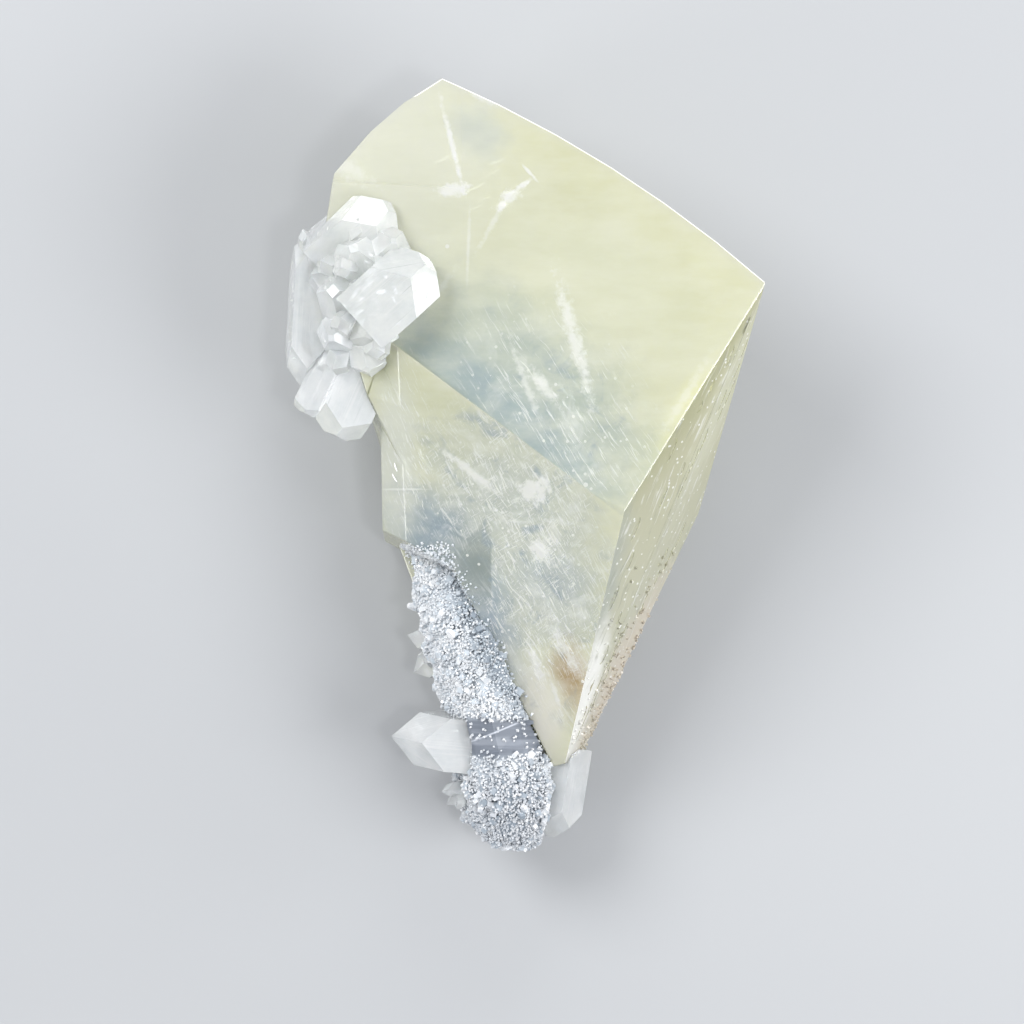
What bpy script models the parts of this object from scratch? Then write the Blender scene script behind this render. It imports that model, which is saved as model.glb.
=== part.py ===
"""A calcite specimen: one large stepped calcite crystal on a drusy stem, with clear apophyllite grown on it.

The specimen lies on the flat cleavage face at its back. +Z is up, out of its broad front face, and +Y runs
along it from the druse-covered end to the top corner. The origin is under the middle of it, on the surface
it lies on. Every crystal is a block cut along its faces, and the faces are given in millimetres.
"""

import math
import random

import bmesh
import bpy
from mathutils import Matrix, Vector, noise

# Driving dimensions, in millimetres
MM = 0.001
FRONT_HEIGHT = 32.9  # the calcite's thickness at the origin, from its cleaved back to its front face
FRONT_SLOPE = (0.059, -0.003)  # rise of the upper front face for each millimetre along X and Y
TOP_CORNER = (-12.8, 59.8)
RIGHT_CORNER = (36.8, 28.2)
LEFT_CORNER = (-28.8, 46.4)
LEDGE_END = (10.3, -4.1)  # where the second crystal's ledge runs out into the front face
BEND = (15.2, -6.6)  # where the front edge on the right bends towards the pointed end
TIP = (6.3, -45.8, 17.0)  # the pointed end
OUTER_EDGE = ((27.3, -6.9, 15.0), (9.7, -43.3, 12.0))  # the widest line of the right-hand side
FACET_END = (-9.6, 42.8)  # the lower end of the edge between the front face and the facet at the top left
FACET_DROP = 1.7  # how far that facet falls from the front face to the left corner
LEFT_FALL = 1.3  # how far the front falls away towards the left edge, below the facet
JOINT_GAP = 0.3  # left between two minerals where one grows on the other
BLOCK = 170.0  # the raw block that a calcite crystal is cut from
RIDGE_BREAK = 0.48  # how far down the right-hand ridge its outer face changes slope
PITS = 14  # etch pits on each of the three right-hand faces
PIT_DEPTH = 0.25
COLLAR = (-45.5, -38.5)  # where the stem is smooth, as Y from and to
COLLAR_GRAINS = 0.25  # share of the druse crystals left on that smooth part
GRAIN_WIDTH = (0.7, 1.5)  # half the width of a druse crystal's base, least and most


def clear_scene():
    for obj in list(bpy.data.objects):
        bpy.data.objects.remove(obj)


def collection(name):
    made = bpy.data.collections.new(name)
    bpy.context.scene.collection.children.link(made)
    return made


def material(name, colour, roughness, clearness):
    """A mineral: its colour, how dull it is, and how much light goes through it."""
    made = bpy.data.materials.new(name)
    made.use_nodes = True
    shader = made.node_tree.nodes["Principled BSDF"]
    shader.inputs["Base Color"].default_value = (*colour, 1)
    shader.inputs["Roughness"].default_value = roughness
    shader.inputs["Metallic"].default_value = 0.0
    shader.inputs["Transmission Weight"].default_value = clearness
    return made


# Shaping helpers


def add_object(name, bm, home):
    """Makes the closed shape an object, with its faces pointing out."""
    mesh = bpy.data.meshes.new(name)
    bmesh.ops.recalc_face_normals(bm, faces=bm.faces)
    if bm.calc_volume(signed=True) < 0:
        bmesh.ops.reverse_faces(bm, faces=bm.faces)
    bm.to_mesh(mesh)
    bm.free()
    obj = bpy.data.objects.new(name, mesh)
    home.objects.link(obj)
    return obj


def point(x, y, z):
    return Vector((x, y, z)) * MM


def cut(bm, at, normal):
    """Cuts the block along one crystal face and closes the cut with a flat face."""
    everything = bm.verts[:] + bm.edges[:] + bm.faces[:]
    made = bmesh.ops.bisect_plane(
        bm, geom=everything, dist=1e-8, plane_co=at, plane_no=normal, clear_outer=True
    )
    rim = [part for part in made["geom_cut"] if isinstance(part, bmesh.types.BMEdge)]
    if rim:
        bmesh.ops.edgeloop_fill(bm, edges=rim)


def crystal(name, faces, home, grow=0.0):
    """A block cut by faces, each a point and an outward normal. Grow moves every face that far outwards."""
    bm = bmesh.new()
    bmesh.ops.create_cube(bm, size=BLOCK * MM)
    for at, normal in faces:
        outward = Vector(normal).normalized()
        cut(bm, point(*at) + outward * grow * MM, outward)
    return add_object(name, bm, home)


def wall(start, end, lean):
    """The face through an edge of a crystal, followed clockwise from above.

    Lean is in degrees from upright: a positive one spreads the crystal towards its foot, and a negative one
    undercuts it.
    """
    along = Vector(end) - Vector(start)
    outward = Vector((-along.y, along.x, 0)).normalized()
    angle = math.radians(lean)
    down = outward * math.sin(angle) - Vector((0, 0, math.cos(angle)))
    normal = along.cross(down)
    return start, normal if normal.dot(outward) > 0 else -normal


def through(first, second, third, outward):
    """The face through three points, turned to look outward."""
    normal = (Vector(second) - Vector(first)).cross(Vector(third) - Vector(first))
    return first, normal if normal.dot(Vector(outward)) > 0 else -normal


def bowed(start, end, bulge, pieces):
    """Points along a shallow arc between two corners, in plan."""
    a = Vector(start)
    b = Vector(end)
    across = b - a
    outward = Vector((-across.y, across.x)).normalized()
    points = []
    for i in range(pieces + 1):
        share = i / pieces
        at = a + across * share + outward * bulge * 4 * share * (1 - share)
        points.append((at.x, at.y))
    return points


def combine(base, other, operation, self_crossing=False):
    """Joins other to base, or cuts it from base, and removes other."""
    modifier = base.modifiers.new(operation.title(), "BOOLEAN")
    modifier.operation = operation
    modifier.object = other
    modifier.use_self = self_crossing
    graph = bpy.context.evaluated_depsgraph_get()
    mesh = bpy.data.meshes.new_from_object(base.evaluated_get(graph))
    base.modifiers.clear()
    base.data = mesh
    bpy.data.objects.remove(other)


def finish(obj, mineral):
    """Puts the mineral on a finished piece."""
    obj.data.materials.clear()
    obj.data.materials.append(mineral)


# The calcite crystal


def front(x, y):
    """A point of the upper front face."""
    return x, y, FRONT_HEIGHT + FRONT_SLOPE[0] * x + FRONT_SLOPE[1] * y


def below_front(x, y, drop):
    """A point that much lower than the upper front face."""
    return x, y, front(x, y)[2] - drop


def front_face():
    return (0, 0, FRONT_HEIGHT), (-FRONT_SLOPE[0], -FRONT_SLOPE[1], 1)


def lower_face():
    """The lower front face, which falls from the bend towards the pointed end."""
    return through(front(*LEDGE_END), front(*BEND), TIP, (0, 0, 1))


def lower(x, y):
    """A point of the lower front face."""
    (x0, y0, z0), normal = lower_face()
    return x, y, z0 - (normal.x * (x - x0) + normal.y * (y - y0)) / normal.z


def rim_faces():
    """The undercut faces round the top, from the left corner over the top one to the right one."""
    faces = []
    for start, end, bulge, pieces, lean in (
        (LEFT_CORNER, TOP_CORNER, 1.1, 3, -6),
        (TOP_CORNER, RIGHT_CORNER, 2.3, 6, -13),
    ):
        corners = bowed(start, end, bulge, pieces)
        for a, b in zip(corners, corners[1:]):
            faces.append(wall(front(*a), front(*b), lean))
    return faces


def inner_side():
    """The sloping face between the front edge and the ridge along the right-hand side."""
    return through(front(*RIGHT_CORNER), front(*BEND), TIP, (1, 0, 0))


def right_faces():
    """The sloping face, the steep ones outside its ridge, and the undercut ones that meet them."""
    corner = front(*RIGHT_CORNER)
    upper, end = OUTER_EDGE
    ridge = Vector(corner).lerp(Vector(TIP), RIDGE_BREAK)
    return [
        inner_side(),
        through(corner, ridge, upper, (1, 0, 0)),
        through(ridge, TIP, upper, (1, 0, 0)),
        through(corner, upper, (19.0, 0, 0), (1, 0, 0)),
        through(upper, end, (13.0, -25.0, 0), (1, 0, 0)),
    ]


def main_crystal(home, grow):
    faces = [
        ((0, 0, 0), (0, 0, -1)),
        front_face(),
        lower_face(),
        through(front(*FACET_END), front(-9.0, 18.0), below_front(-31.2, 32.0, LEFT_FALL), (0, 0, 1)),
        *rim_faces(),
        *right_faces(),
        wall((12.0, -44.6, 10), (2.0, -47.4, 10), 0),
        wall(lower(4.4, -46.8), lower(-8.6, -20.5), 8),
        wall((-22.4, 3.5, 20), (-31.2, 32.0, 20), 2),
        wall((-30.9, 34.5, 25), (-29.0, 46.6, 25), -4),
    ]
    return crystal("MainCrystal", faces, home, grow)


def shoulder_crystal(home, grow):
    """The second crystal of the pair, which stands proud of the front face and ends in a sharp ledge."""
    faces = [
        lower_face(),
        wall(lower(-20.6, 19.2), lower(*LEDGE_END), -6),
        wall(lower(-18.6, -8.0), lower(-19.6, 19.0), 42),
        wall((-22.3, -8.0, 20), (-22.5, 19.0, 20), 0),
        wall(lower(-8.0, -17.3), lower(-20.1, -10.6), 6),
        wall((9.0, -6.0, 20), (-6.0, -30.0, 20), 0),
        ((0, 0, 6.0), (0, 0, -1)),
    ]
    return crystal("ShoulderCrystal", faces, home, grow)


def foot_crystal(home, grow):
    """The low part behind the druse, seen as a pale strip beside it."""
    faces = [
        ((-18.0, -15.0, 11.0), (-0.35, 0.05, 1)),
        wall((-18.2, -21.9, 8), (-20.4, -11.0, 8), 0),
        wall((-11.0, -30.0, 8), (-18.2, -21.9, 8), 4),
        wall((-20.4, -11.0, 8), (-22.3, -6.0, 8), 0),
        wall((-21.0, -1.0, 8), (4.0, -1.0, 8), 0),
        wall((4.0, -1.0, 8), (-4.0, -34.0, 8), 0),
        ((0, 0, 1.2), (0, 0, -1)),
    ]
    return crystal("FootCrystal", faces, home, grow)


def top_left_facet(home):
    """What the facet at the top left leaves out: it ends in a low step, just above the clear crystals."""
    corner = below_front(*LEFT_CORNER, FACET_DROP)
    faces = [
        through(front(*TOP_CORNER), front(*FACET_END), corner, (0, 0, -1)),
        wall(front(*FACET_END), (-30.0, 44.2, corner[2]), -40),
    ]
    return crystal("FacetCut", faces, home)


def cleavage_steps(home):
    """Blocks that leave ledges, parallel to the cleavage, along the crystal's back and upper edges."""
    steps = (
        # centre, size and turn about Z
        ((17.0, 45.5, 3.0), (26, 7, 13), -32),
        ((1.0, 55.0, 8.5), (18, 8, 9), -28),
        ((31.0, 32.0, 20.0), (9, 6, 5), -38),
        ((-27.5, 43.0, 4.0), (9, 16, 13), 8),
        ((-23.0, 55.5, 12.0), (12, 5, 7), 40),
        ((-19.5, 57.6, 31.6), (5.0, 2.6, 3.0), 40),
        ((-26.4, 51.6, 30.6), (4.0, 2.0, 2.6), 40),
        ((18.0, -30.5, 2.2), (8, 14, 5), -28),
    )
    for centre, size, turn in steps:
        bm = bmesh.new()
        bmesh.ops.create_cube(bm, size=MM)
        lean = Matrix.Rotation(math.radians(6), 4, "X")
        place = Matrix.Translation(point(*centre)) @ Matrix.Rotation(math.radians(turn), 4, "Z")
        bm.transform(place @ lean @ Matrix.Diagonal((*size, 1)))
        yield add_object("CleavageStep", bm, home)


def etch_pits(home, picks):
    """Long shallow pits on the faces of the right-hand side, which run along its length."""
    corner = Vector(front(*RIGHT_CORNER))
    tip = Vector(TIP)
    bend = Vector(front(*BEND))
    edge = Vector(OUTER_EDGE[0])
    ridge = corner.lerp(tip, RIDGE_BREAK)
    bm = bmesh.new()
    # each face as a triangle of three corners, the first two along its length
    for start, end, side in ((corner, tip, bend), (corner, ridge, edge), (ridge, tip, edge)):
        normal = (end - start).cross(side - start).normalized()
        along = (end - start).normalized()
        across = normal.cross(along)
        turn = Matrix((across, along, normal)).transposed().to_4x4()
        for i in range(PITS):
            run = (i + picks.uniform(0.2, 0.8)) / PITS
            on_line = start.lerp(end, 0.06 + 0.86 * run)
            foot = (side - start).dot(along) / (end - start).length
            reach = min(run / foot, (1 - run) / (1 - foot)) if 0 < foot < 1 else 1 - run
            width = (side - start - along * (side - start).dot(along)) * max(reach, 0.1)
            at = on_line + width * picks.uniform(0.15, 0.75)
            size = (picks.uniform(0.3, 0.55), picks.uniform(1.2, 3.4), PIT_DEPTH)
            place = Matrix.Translation(at * MM) @ turn @ Matrix.Diagonal((*size, 1))
            bmesh.ops.create_icosphere(bm, subdivisions=1, radius=MM, matrix=place)
    return add_object("EtchPits", bm, home)


def calcite_body(home, grow=0.0):
    body = main_crystal(home, grow)
    combine(body, shoulder_crystal(home, grow), "UNION")
    combine(body, foot_crystal(home, grow), "UNION")
    return body


def make_calcite(parts, tools):
    calcite = calcite_body(tools)
    calcite.name = "calcite_crystal"
    tools.objects.unlink(calcite)
    parts.objects.link(calcite)
    combine(calcite, top_left_facet(tools), "DIFFERENCE")
    for step in cleavage_steps(tools):
        combine(calcite, step, "DIFFERENCE")
    combine(calcite, etch_pits(tools, random.Random(11)), "DIFFERENCE", self_crossing=True)
    return calcite


# The clear crystals


def apophyllite(name, home, tip, axis, width, length, roll=0.0, steep=52.0, blunt=0.0, ends=1, grow=0.0):
    """A square prism with a four-sided point, at one end or both, whose faces sit over the prism's edges.

    Steep is the angle from the axis to a point face's normal, and blunt takes that much off the tip.
    """
    bm = bmesh.new()
    bmesh.ops.create_cube(bm, size=MM)
    wide = width + 2 * grow
    bm.transform(Matrix.Diagonal((wide, wide, length + grow, 1)))
    bm.transform(Matrix.Translation(point(0, 0, -(length - grow) / 2)))
    angle = math.radians(steep)
    for end, sign in ((0, 1), (-length, -1))[:ends]:
        for x, y in ((1, 1), (-1, 1), (-1, -1), (1, -1)):
            normal = Vector((x, y, 0)).normalized() * math.sin(angle)
            normal.z = sign * math.cos(angle)
            cut(bm, point(0, 0, end) + normal * grow * MM, normal)
    if blunt:
        cut(bm, point(0, 0, grow - blunt), Vector((0, 0, 1)))
    turn = Vector(axis).to_track_quat("Z", "Y").to_matrix().to_4x4()
    spin = Matrix.Rotation(math.radians(roll), 4, "Z")
    bm.transform(Matrix.Translation(point(*tip)) @ turn @ spin)
    return add_object(name, bm, home)


def grown_together(name, home, crystals, grow=0.0):
    """Several clear crystals that grow through each other, joined in one solid."""
    whole = None
    for settings in crystals:
        one = apophyllite(name, home, grow=grow, **settings)
        if whole is None:
            whole = one
        else:
            combine(whole, one, "UNION")
    return whole


CLUSTER = (
    # the tall striated prism at the left, pointed at both ends
    dict(tip=(-33, 37.4, 24.5), axis=(0.06, 1, 0.03), width=5.4, length=25.4, roll=12, steep=60, ends=2),
    dict(tip=(-31, 34.6, 20), axis=(0.03, 1, -0.05), width=7, length=20, roll=30, steep=50, ends=2),
    # the two long prisms that point down and to the left
    dict(tip=(-34.3, 7.9, 24), axis=(-0.44, -0.90, 0.04), width=4.6, length=20, roll=6, steep=30, blunt=0.5),
    dict(tip=(-30, 3.8, 26.4), axis=(-0.40, -0.91, 0.08), width=7.8, length=19, roll=14, steep=42, blunt=1.2),
    # the two at the top, and the broad one in front of the calcite
    dict(tip=(-20, 40.6, 34), axis=(0.72, 0.56, 0.40), width=8.4, length=15, roll=18, steep=48, blunt=1.2),
    dict(tip=(-27.6, 38.8, 31), axis=(-0.30, 0.88, 0.36), width=7.6, length=15, roll=28, steep=50, blunt=0.8),
    dict(tip=(-14, 32.2, 36.4), axis=(0.72, 0.62, 0.30), width=10.4, length=14.5, roll=4, steep=44, blunt=1.4),
    # the short ones between them, which look outward
    dict(tip=(-26.4, 33.6, 38.2), axis=(-0.2, 0.34, 0.92), width=7.8, length=16, roll=30, steep=50, blunt=0.8),
    dict(tip=(-29.8, 27, 37), axis=(-0.35, 0.10, 0.93), width=7.6, length=18, roll=14, steep=52, blunt=1),
    dict(tip=(-23.6, 26.6, 38.8), axis=(0.05, 0.02, 1), width=7, length=16, roll=40, steep=50, blunt=0.6),
    dict(tip=(-30, 19.6, 34), axis=(-0.35, -0.25, 0.90), width=6.4, length=15, roll=12, steep=50, blunt=0.6),
    dict(tip=(-24, 20, 36.4), axis=(-0.05, -0.30, 0.95), width=6.6, length=14, roll=33, steep=48, blunt=0.6),
    dict(tip=(-24.4, 14.6, 33.4), axis=(-0.1, -0.62, 0.78), width=5.6, length=13, roll=20, steep=46, blunt=0.5),
    dict(tip=(-20, 34.6, 37.4), axis=(0.30, 0.20, 0.93), width=5.8, length=12, roll=10, steep=50, blunt=0.5),
    # small ones
    dict(tip=(-34.4, 36.9, 26.6), axis=(-0.28, 0.94, 0.15), width=2.2, length=7, roll=20),
    dict(tip=(-33.0, 29.6, 32.6), axis=(-0.60, 0.20, 0.77), width=4.2, length=9, roll=35),
)
POINT = (
    dict(tip=(-21.0, -42.0, 16.5), axis=(-0.97, 0.10, 0.22), width=8.4, length=12.5, roll=-6, steep=54),
)
FOOT = (
    dict(tip=(3.7, -58.6, 12.5), axis=(-0.16, -0.98, 0.05), width=6.6, length=15, roll=30, steep=46, blunt=0.6),
    dict(tip=(8.8, -48.0, 12.6), axis=(0.80, 0.40, 0.40), width=4.6, length=8, roll=10, steep=46),
)
BUDS = (
    dict(tip=(-18.6, -26.2, 13.0), axis=(-0.96, 0.22, 0.10), width=4.4, length=8.5, roll=40),
    dict(tip=(-17.6, -32.2, 11.0), axis=(-0.86, -0.45, 0.10), width=4, length=8, roll=15),
    dict(tip=(-16.9, -29.4, 14.2), axis=(-0.90, 0.05, 0.40), width=2.8, length=7, roll=30),
)
SPRIG = (
    dict(tip=(-12.4, -53.0, 12.6), axis=(-0.80, -0.60, 0.05), width=2.4, length=5.5, roll=30, steep=58),
    dict(tip=(-13.2, -50.9, 13.6), axis=(-0.97, -0.20, 0.15), width=2, length=5.5, roll=10, steep=58),
    dict(tip=(-10.8, -53.6, 14.6), axis=(-0.55, -0.75, 0.35), width=1.9, length=5.5, roll=45, steep=58),
)


# The druse-covered stem


# Each station of the stem's middle line: x, y, z and the stem's radius there
STEM_LINE = (
    (-15.0, -11.5, 11.0, 2.4),
    (-12.8, -15.0, 14.0, 4.9),
    (-10.5, -21.0, 15.2, 6.3),
    (-7.9, -29.0, 14.2, 6.9),
    (-5.2, -37.5, 12.8, 7.2),
    (-3.4, -45.0, 12.0, 7.2),
    (-2.4, -51.0, 11.8, 7.6),
    (-2.0, -55.5, 11.8, 6.6),
    (-1.8, -58.4, 11.8, 4.2),
    (-1.7, -59.6, 11.8, 1.6),
)
STEM_DEPTH = 1.14  # the stem is this much deeper than it is wide
GRAINS = 400  # small crystals of the druse


def stem(home):
    """The lumpy body under the druse: a tube of changing radius along its middle line, roughened."""
    curve = bpy.data.curves.new("StemLine", "CURVE")
    curve.dimensions = "3D"
    curve.bevel_depth = MM
    curve.bevel_resolution = 4
    curve.use_fill_caps = True
    line = curve.splines.new("NURBS")
    line.points.add(len(STEM_LINE) - 1)
    for spot, (x, y, z, radius) in zip(line.points, STEM_LINE):
        spot.co = (*point(x, y, z), 1)
        spot.radius = radius
    line.order_u = 3
    line.use_endpoint_u = True
    line.resolution_u = 3
    guide = bpy.data.objects.new("StemLine", curve)
    home.objects.link(guide)
    graph = bpy.context.evaluated_depsgraph_get()
    mesh = bpy.data.meshes.new_from_object(guide.evaluated_get(graph))
    bpy.data.objects.remove(guide)
    bm = bmesh.new()
    bm.from_mesh(mesh)
    bmesh.ops.remove_doubles(bm, verts=bm.verts, dist=1e-6)
    middle = STEM_LINE[-1][2] * MM
    for vert in bm.verts:
        lump = noise.noise(vert.co / (6 * MM)) * 0.9 + noise.noise(vert.co / (2.5 * MM)) * 0.5
        vert.co += vert.normal * lump * MM
        vert.co.z = middle + (vert.co.z - middle) * STEM_DEPTH
    bmesh.ops.triangulate(bm, faces=bm.faces)
    return add_object("Stem", bm, home)


def grains(body, home, picks):
    """The druse: small blocky crystals scattered over the stem, each set a little way into it."""
    faces = list(body.data.polygons)
    weights = [face.area for face in faces]
    bm = bmesh.new()
    for face in picks.choices(faces, weights=weights, k=GRAINS):
        corners = [body.data.vertices[i].co for i in face.vertices]
        shares = [picks.random() + 0.05 for _ in corners]
        spot = sum((c * s for c, s in zip(corners, shares)), Vector()) / sum(shares)
        if COLLAR[0] * MM < spot.y < COLLAR[1] * MM and picks.random() > COLLAR_GRAINS:
            continue
        lean = Vector([picks.uniform(-0.5, 0.5) for _ in range(3)])
        turn = (face.normal + lean).to_track_quat("Z", "Y").to_matrix().to_4x4()
        spin = Matrix.Rotation(picks.uniform(0, math.pi), 4, "Z")
        width = picks.uniform(*GRAIN_WIDTH)
        place = Matrix.Translation(spot) @ turn @ spin
        bmesh.ops.create_cone(
            bm,
            cap_ends=True,
            segments=4,
            radius1=width * MM,
            radius2=width * picks.uniform(0.3, 0.6) * MM,
            depth=width * 1.7 * MM,
            matrix=place,
        )
    return add_object("Grains", bm, home)


def make_stem(parts, tools):
    body = stem(tools)
    combine(body, grains(body, tools, random.Random(4)), "UNION", self_crossing=True)
    combine(body, calcite_body(tools, JOINT_GAP), "DIFFERENCE")
    for group in (POINT, FOOT, BUDS, SPRIG):
        combine(body, grown_together("Socket", tools, group, JOINT_GAP), "DIFFERENCE")
    body.name = "drusy_stem"
    tools.objects.unlink(body)
    parts.objects.link(body)
    return body


def keep_largest(obj):
    """Deletes crumbs that a cut leaves loose from the main body."""
    bm = bmesh.new()
    bm.from_mesh(obj.data)
    left = set(bm.verts)
    islands = []
    while left:
        queue = [left.pop()]
        island = []
        while queue:
            vert = queue.pop()
            island.append(vert)
            for edge in vert.link_edges:
                other = edge.other_vert(vert)
                if other in left:
                    left.remove(other)
                    queue.append(other)
        islands.append(island)
    islands.sort(key=len, reverse=True)
    for island in islands[1:]:
        bmesh.ops.delete(bm, geom=island, context="VERTS")
    bm.to_mesh(obj.data)
    bm.free()


def make_clear(name, group, parts, tools):
    clear = grown_together(name, parts, group)
    combine(clear, calcite_body(tools, JOINT_GAP), "DIFFERENCE")
    return clear


def main():
    clear_scene()
    parts = collection("calcite_specimen")
    tools = collection("Cutters")
    tools.hide_render = True

    calcite = material("Calcite", (0.86, 0.88, 0.72), 0.18, 0.6)
    clear = material("Apophyllite", (0.95, 0.97, 0.98), 0.05, 0.95)
    druse = material("Druse", (0.72, 0.77, 0.84), 0.25, 0.5)

    finish(make_calcite(parts, tools), calcite)
    finish(make_stem(parts, tools), druse)
    for name, group in (
        ("apophyllite_cluster", CLUSTER),
        ("apophyllite_point", POINT),
        ("apophyllite_foot", FOOT),
        ("apophyllite_buds", BUDS),
        ("apophyllite_sprig", SPRIG),
    ):
        finish(make_clear(name, group, parts, tools), clear)
    for obj in parts.objects:
        keep_largest(obj)


main()
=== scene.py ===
"""A calcite specimen, lying on its flat back: a big pale yellow calcite crystal, a stem covered with fine
druse, and clear apophyllite crystals grown on both. Lengths in the tables are in millimetres."""

import math
import random

import bmesh
import bpy
from mathutils import Matrix, Vector


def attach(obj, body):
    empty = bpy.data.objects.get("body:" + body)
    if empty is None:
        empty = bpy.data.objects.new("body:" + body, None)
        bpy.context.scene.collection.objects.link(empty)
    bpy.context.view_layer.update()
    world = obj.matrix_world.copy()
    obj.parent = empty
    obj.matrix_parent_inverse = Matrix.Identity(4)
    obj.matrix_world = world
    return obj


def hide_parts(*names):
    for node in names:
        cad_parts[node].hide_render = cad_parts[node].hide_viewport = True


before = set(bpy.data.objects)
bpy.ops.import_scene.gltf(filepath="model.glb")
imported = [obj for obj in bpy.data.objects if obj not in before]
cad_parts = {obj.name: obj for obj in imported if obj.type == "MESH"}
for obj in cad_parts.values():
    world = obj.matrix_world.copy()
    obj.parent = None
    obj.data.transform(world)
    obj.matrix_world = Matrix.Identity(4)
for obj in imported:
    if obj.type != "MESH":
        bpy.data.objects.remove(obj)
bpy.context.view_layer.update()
bpy.ops.object.select_all(action="DESELECT")

MM = 0.001


# The table top, the camera and the lamps. The specimen lies on a plain pale sheet and is seen from straight
# above, under soft studio lamps: a broad one at the upper left, a weaker one at the right, low ones around.


def point(x, y, z=0.0):
    return Vector((x, y, z)) * MM


def put(tree, kind, sockets=(), **settings):
    """Adds a node. Sockets maps an input to its value, or to the output that feeds it."""
    made = tree.nodes.new(kind)
    for key, value in settings.items():
        setattr(made, key, value)
    for key, value in dict(sockets).items():
        if isinstance(value, bpy.types.NodeSocket):
            tree.links.new(value, made.inputs[key])
        else:
            made.inputs[key].default_value = value
    return made


def srgb(red, green, blue):
    """A colour given in the usual 0 to 255 steps, as the shader's linear values."""
    def linear(value):
        share = value / 255
        return share / 12.92 if share <= 0.04045 else ((share + 0.055) / 1.055) ** 2.4

    return linear(red), linear(green), linear(blue), 1.0


def finish_material(name, **values):
    """A new material and its shader, with the values that are the same all over set on its sockets."""
    made = bpy.data.materials.new(name)
    made.use_nodes = True
    shader = made.node_tree.nodes["Principled BSDF"]
    for label, value in values.items():
        shader.inputs[label.replace("_", " ")].default_value = value
    return made, made.node_tree, shader


def object_place(tree):
    return put(tree, "ShaderNodeTexCoord").outputs["Object"]


def noise_of(tree, place, scale, detail, roughness=0.5, distortion=0.0):
    """An uneven value from 0 to 1."""
    sockets = {"Vector": place, "Scale": scale, "Detail": detail, "Roughness": roughness}
    return put(tree, "ShaderNodeTexNoise", {**sockets, "Distortion": distortion}).outputs["Fac"]


def blend(tree, share, under, over):
    """Lays one colour over another."""
    made = put(tree, "ShaderNodeMix", {"Factor": share, "A": under, "B": over}, data_type="RGBA")
    return made.outputs["Result"]


SHEET_SIZE = 3.0
SHEET_GAP = 0.00004  # the sheet lies this far under the specimen, so that the two faces don't meet
bpy.ops.mesh.primitive_plane_add(size=SHEET_SIZE, location=(0, 0, -SHEET_GAP))
table_top = bpy.context.object
table_top.name = "table_top"
paper, tree, shader = finish_material("paper", Roughness=0.7)
mottle = noise_of(tree, object_place(tree), 9.0, 4.0)
tree.links.new(blend(tree, mottle, srgb(158, 160, 163), srgb(164, 166, 168)), shader.inputs["Base Color"])
table_top.data.materials.append(paper)

bpy.ops.object.camera_add(location=point(-2.09, -6.9, 825.0), rotation=(0, 0, 0))
camera = bpy.context.object
camera.data.sensor_width = 36.0
camera.data.lens = 181.5
camera.data.clip_start = 0.01
bpy.context.scene.camera = camera
bpy.context.scene.view_settings.view_transform = "Standard"

# Name, place, size and power in watts
LAMPS = (
    ("broad_lamp", (-430, 330, 560), 420, 4.6),
    ("fill_lamp", (420, -160, 400), 360, 2.6),
    ("right_lamp", (520, 60, 130), 260, 1.0),
    ("top_lamp", (60, 520, 260), 300, 1.2),
    ("left_lamp", (-520, -200, 180), 260, 1.0),
    ("near_lamp", (150, -70, 900), 90, 1.0),
)
LAMPS_LOOK_AT = point(0, 0, 20)
for name, place, size, power in LAMPS:
    bpy.ops.object.light_add(type="AREA", location=point(*place))
    lamp = bpy.context.object
    lamp.name = name
    lamp.data.shape = "DISK"
    lamp.data.size = size * MM
    lamp.data.energy = power
    lamp.rotation_euler = (LAMPS_LOOK_AT - point(*place)).to_track_quat("-Z", "Y").to_euler()
world = bpy.data.worlds.new("studio")
world.use_nodes = True
world.node_tree.nodes["Background"].inputs["Color"].default_value = (0.93, 0.95, 1.0, 1)
world.node_tree.nodes["Background"].inputs["Strength"].default_value = 0.55
bpy.context.scene.world = world
bpy.ops.object.select_all(action="DESELECT")


# The calcite crystal. It is one blocky crystal of milky, pale yellow-green calcite with flat cleavage faces.
# A second one of the same kind has grown on it in a ledge. Bluish clouds hold fine white healed cracks.

FRONT_HEIGHT = 32.9  # of the front face above the origin
FRONT_SLOPE = (0.059, -0.003)  # how it rises along x and along y
SIDE_RUN = (-30.5, -74.0, -18.0)  # the direction of the long faces on the right
LEDGE_WAY = (0.602, 0.798)  # the direction across the ledge's line, in plan
LEDGE_AT = 0.00293  # how far the ledge's line lies from the origin, in metres
LEDGE_BLUR = 0.00015
MURK_EDGE = (-0.00545, -0.00515)  # where the dull grey patch ends on its right, in metres
STROKE_FROM = 0.56  # the noise value from which a healed crack shows
# The corners whose edges stay sharp
POINTED_END = (6.3, -45.8, 17.0)
FACET_END = (-9.6, 42.8, 32.2)
BACK_FOOT = (-16.7, 53.5, 0.0)
BACK_TOP = (-18.7, 56.0, 31.0)
SPARED_REACH = 2.0


def solid_of(node, name):
    """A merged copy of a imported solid, as the start of a finished piece."""
    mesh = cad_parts[node].data.copy()
    mesh.name = name
    mesh.materials.clear()
    piece = bpy.data.objects.new(name, mesh)
    bpy.context.scene.collection.objects.link(piece)
    only(piece)
    bpy.ops.object.mode_set(mode="EDIT")
    bpy.ops.mesh.select_all(action="SELECT")
    bpy.ops.mesh.remove_doubles(threshold=2e-6)
    bpy.ops.mesh.customdata_custom_splitnormals_clear()
    bpy.ops.mesh.dissolve_limited(angle_limit=math.radians(0.6))
    bpy.ops.mesh.faces_shade_flat()
    bpy.ops.object.mode_set(mode="OBJECT")
    return piece


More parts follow.
